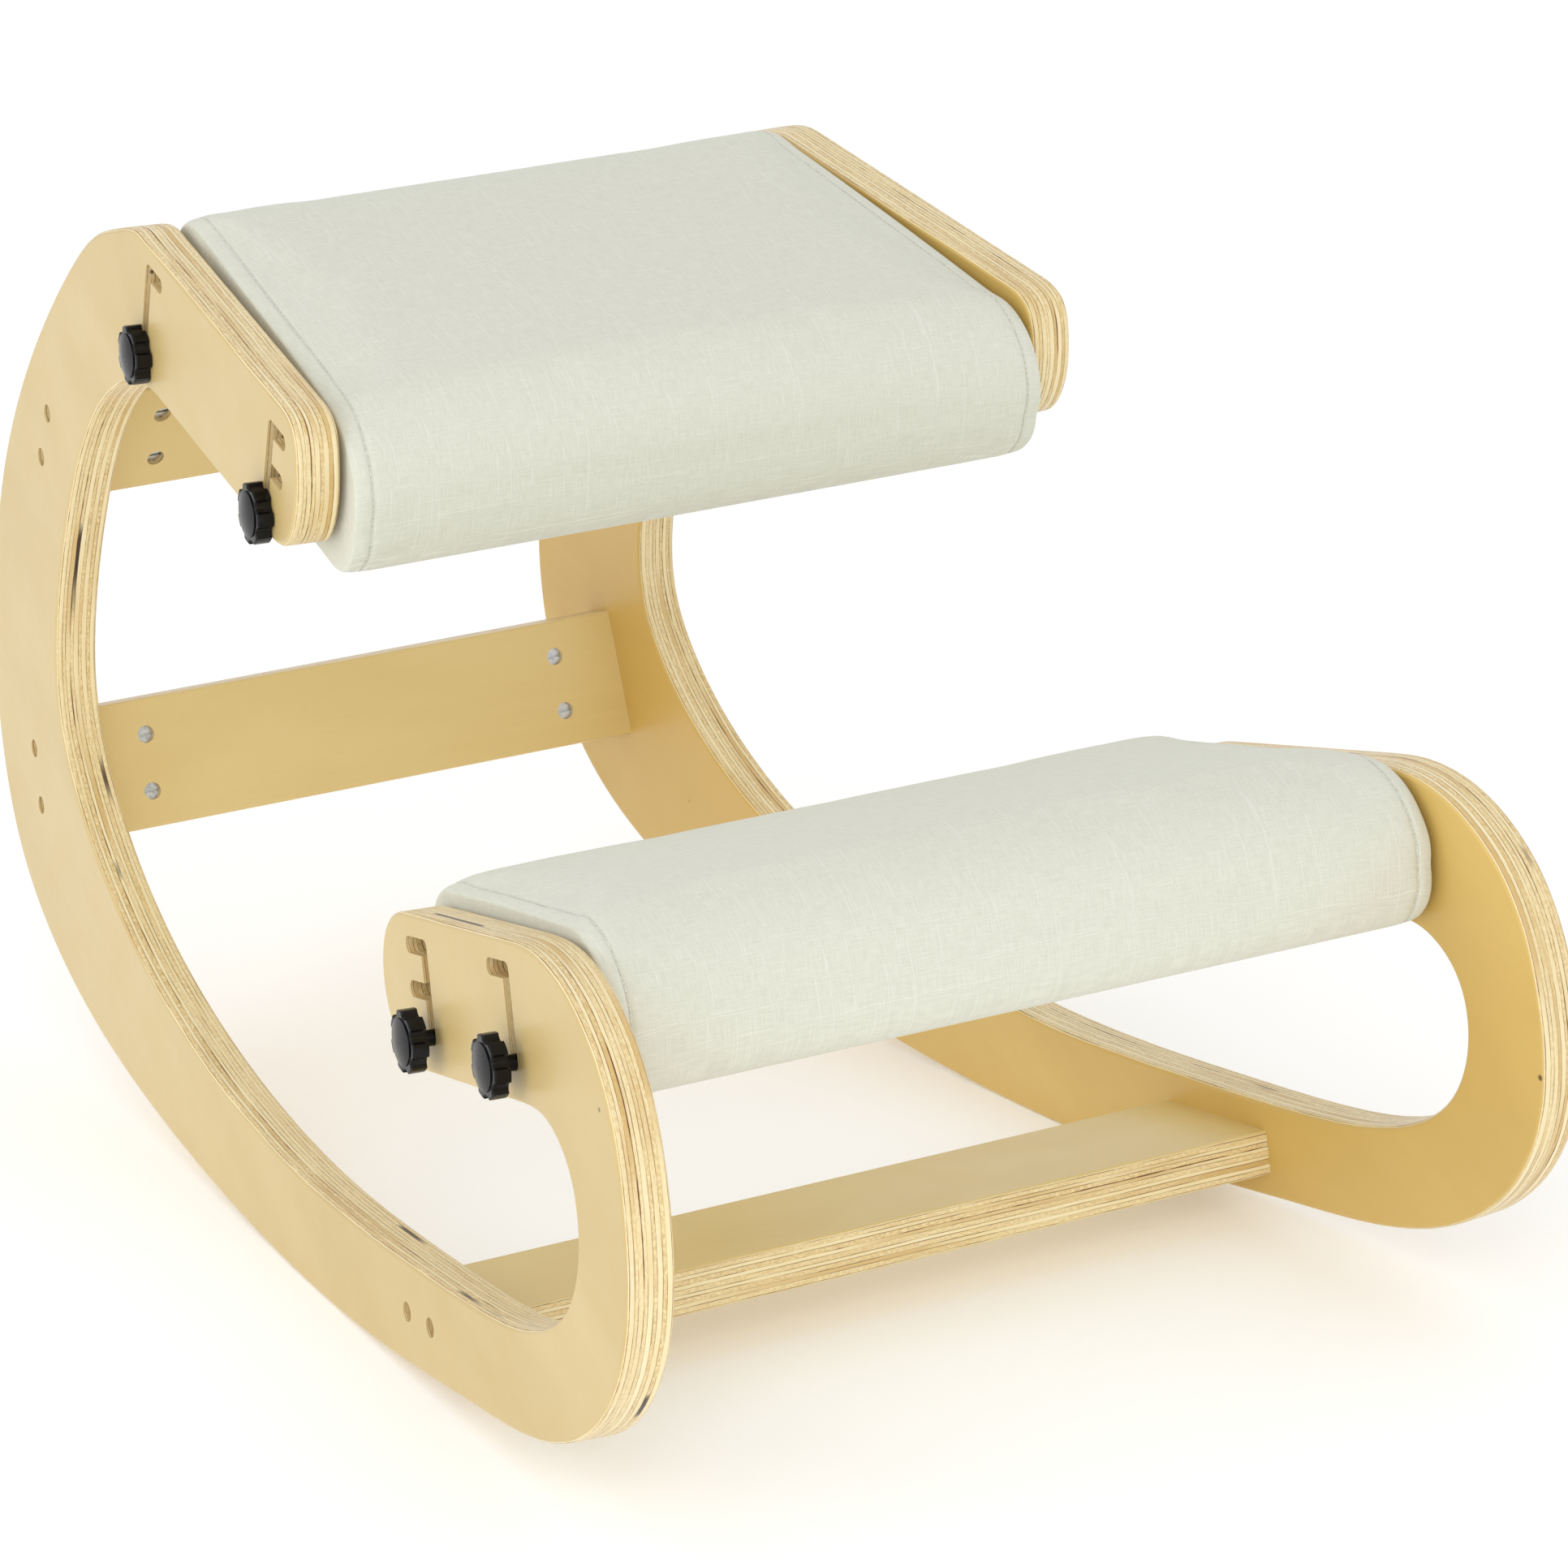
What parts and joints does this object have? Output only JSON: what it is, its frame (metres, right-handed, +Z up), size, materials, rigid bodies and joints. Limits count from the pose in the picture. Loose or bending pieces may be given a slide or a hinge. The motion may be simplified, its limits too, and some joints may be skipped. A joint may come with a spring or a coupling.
{
  "type": "rocking kneeling chair",
  "caption": "Backless rocking kneeling chair: two C-shaped plywood sides joined by crossbars carry a height-adjustable padded seat and a lower knee pad, clamped by star knobs.",
  "frame": {"origin": "on the floor plane, under the middle of the bounding box, between the two sides", "axes": "+Z up, -Y towards the front (the knee pad), X across the chair; the chair stands in the attitude in which it balances empty on its rockers"},
  "size_m": [0.5392, 0.9668, 0.534],
  "materials": {
    "side_ply": "satin",
    "crossbar_ply": "satin",
    "core_board": "matte",
    "linen": "matte",
    "black_plastic": "gloss",
    "zinc_steel": "satin"
  },
  "bodies": {
    "frame": {"left_side_panel": "side_ply", "right_side_panel": "side_ply", "upper_crossbar": "crossbar_ply", "upper_bar_bolts": "zinc_steel", "upper_barrel_nuts": "zinc_steel", "middle_crossbar": "crossbar_ply", "middle_bar_bolts": "zinc_steel", "middle_barrel_nuts": "zinc_steel", "lower_crossbar": "crossbar_ply", "lower_bar_bolts": "zinc_steel", "lower_barrel_nuts": "zinc_steel"},
    "seat": {"seat_board": "core_board", "seat_cushion": "linen", "seat_threaded_inserts": "zinc_steel"},
    "knee_pad": {"knee_board": "core_board", "knee_cushion": "linen", "knee_threaded_inserts": "zinc_steel"},
    "seat_rear_left_knob_and_stud": {"seat_rear_left_knob": "black_plastic", "seat_rear_left_stud": "zinc_steel"},
    "seat_rear_right_knob_and_stud": {"seat_rear_right_knob": "black_plastic", "seat_rear_right_stud": "zinc_steel"},
    "seat_front_left_knob_and_stud": {"seat_front_left_knob": "black_plastic", "seat_front_left_stud": "zinc_steel"},
    "seat_front_right_knob_and_stud": {"seat_front_right_knob": "black_plastic", "seat_front_right_stud": "zinc_steel"},
    "knee_rear_left_knob_and_stud": {"knee_rear_left_knob": "black_plastic", "knee_rear_left_stud": "zinc_steel"},
    "knee_rear_right_knob_and_stud": {"knee_rear_right_knob": "black_plastic", "knee_rear_right_stud": "zinc_steel"},
    "knee_front_left_knob_and_stud": {"knee_front_left_knob": "black_plastic", "knee_front_left_stud": "zinc_steel"},
    "knee_front_right_knob_and_stud": {"knee_front_right_knob": "black_plastic", "knee_front_right_stud": "zinc_steel"}
  },
  "joints": [
    {"name": "seat_height", "type": "slide", "parent": "frame", "child": "seat", "axis": [0, -0.3387, 0.9409], "range_m": [0, 0.05]},
    {"name": "knee_pad_height", "type": "slide", "parent": "frame", "child": "knee_pad", "axis": [0, 0.1785, 0.9839], "range_m": [0, 0.04404]},
    {"name": "seat_rear_left_knob_turn", "type": "hinge", "parent": "seat", "child": "seat_rear_left_knob_and_stud", "pos_m": [-0.20557, 0.16597, 0.46069], "axis": [-0.9968, 0.0755, 0.0272], "range_deg": [0, 1080]},
    {"name": "seat_rear_right_knob_turn", "type": "hinge", "parent": "seat", "child": "seat_rear_right_knob_and_stud", "pos_m": [0.20557, 0.16597, 0.46069], "axis": [0.9968, 0.0755, 0.0272], "range_deg": [0, 1080]},
    {"name": "seat_front_left_knob_turn", "type": "hinge", "parent": "seat", "child": "seat_front_left_knob_and_stud", "pos_m": [-0.22096, -0.02088, 0.41468], "axis": [-0.9968, 0.0755, 0.0272], "range_deg": [0, 1080]},
    {"name": "seat_front_right_knob_turn", "type": "hinge", "parent": "seat", "child": "seat_front_right_knob_and_stud", "pos_m": [0.22096, -0.02088, 0.41468], "axis": [0.9968, 0.0755, 0.0272], "range_deg": [0, 1080]},
    {"name": "knee_rear_left_knob_turn", "type": "hinge", "parent": "knee_pad", "child": "knee_rear_left_knob_and_stud", "pos_m": [-0.24318, -0.23628, 0.19789], "axis": [-0.9968, 0.0755, 0.0272], "range_deg": [-2520, 1080]},
    {"name": "knee_rear_right_knob_turn", "type": "hinge", "parent": "knee_pad", "child": "knee_rear_right_knob_and_stud", "pos_m": [0.24318, -0.23628, 0.19789], "axis": [0.9968, 0.0755, 0.0272], "range_deg": [-2520, 1080]},
    {"name": "knee_front_left_knob_turn", "type": "hinge", "parent": "knee_pad", "child": "knee_front_left_knob_and_stud", "pos_m": [-0.25104, -0.3475, 0.21843], "axis": [-0.9968, 0.0755, 0.0272], "range_deg": [-2520, 1080]},
    {"name": "knee_front_right_knob_turn", "type": "hinge", "parent": "knee_pad", "child": "knee_front_right_knob_and_stud", "pos_m": [0.25104, -0.3475, 0.21843], "axis": [0.9968, 0.0755, 0.0272], "range_deg": [-2520, 1080]}
  ]
}
